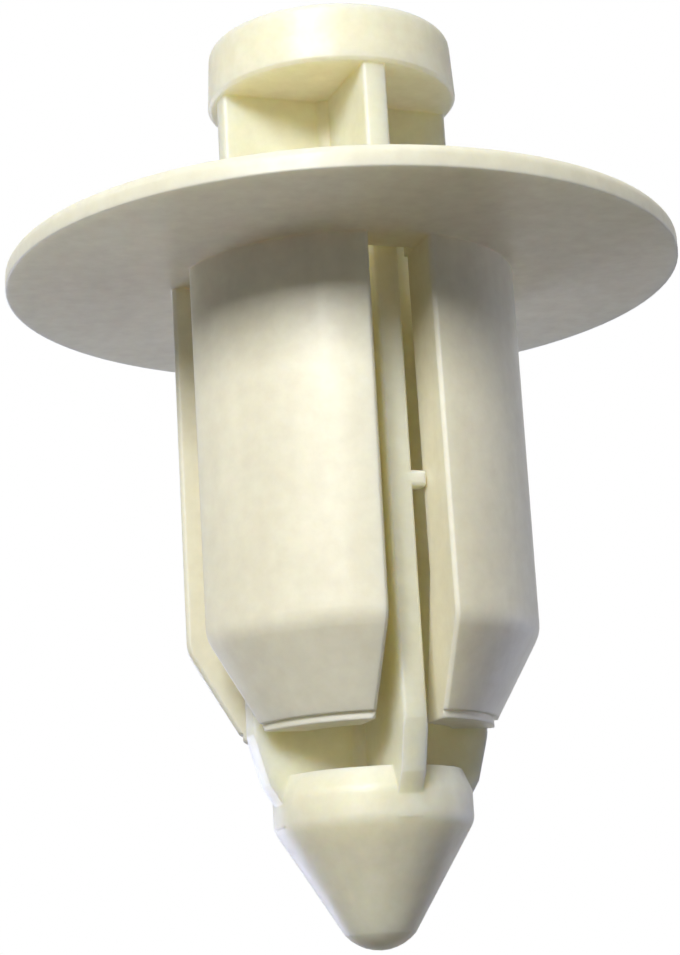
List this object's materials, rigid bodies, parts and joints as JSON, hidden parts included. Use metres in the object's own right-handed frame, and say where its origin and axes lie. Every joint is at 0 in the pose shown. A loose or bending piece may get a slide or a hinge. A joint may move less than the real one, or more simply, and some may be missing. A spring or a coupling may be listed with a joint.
{
  "type": "push-in fastening plug",
  "caption": "Two-piece plastic push plug: a round flange with split legs, and a raised centre pin with a cross-ribbed stem, collar and blunt tip, that slides in the legs.",
  "frame": {"origin": "centre of the flange's flat seat, where the shank meets it", "axes": "+Z along the plug's axis from the seat to the pin's head, the legs and tip lie in -Z, and the leg slots face +X, -X, +Y and -Y"},
  "size_m": [0.02, 0.02, 0.0271],
  "materials": {
    "body_nylon": "natural off-white nylon, softly moulded, slightly waxy",
    "pin_nylon": "natural off-white nylon, softly moulded, slightly waxy"
  },
  "bodies": {
    "flanged_body": {"flanged_body": "body_nylon"},
    "centre_pin": {"centre_pin": "pin_nylon"}
  },
  "joints": [
    {"name": "pin_slide", "type": "slide", "parent": "flanged_body", "child": "centre_pin", "axis": [0, 0, 1], "range_m": [-0.00468, 0.00115]}
  ]
}
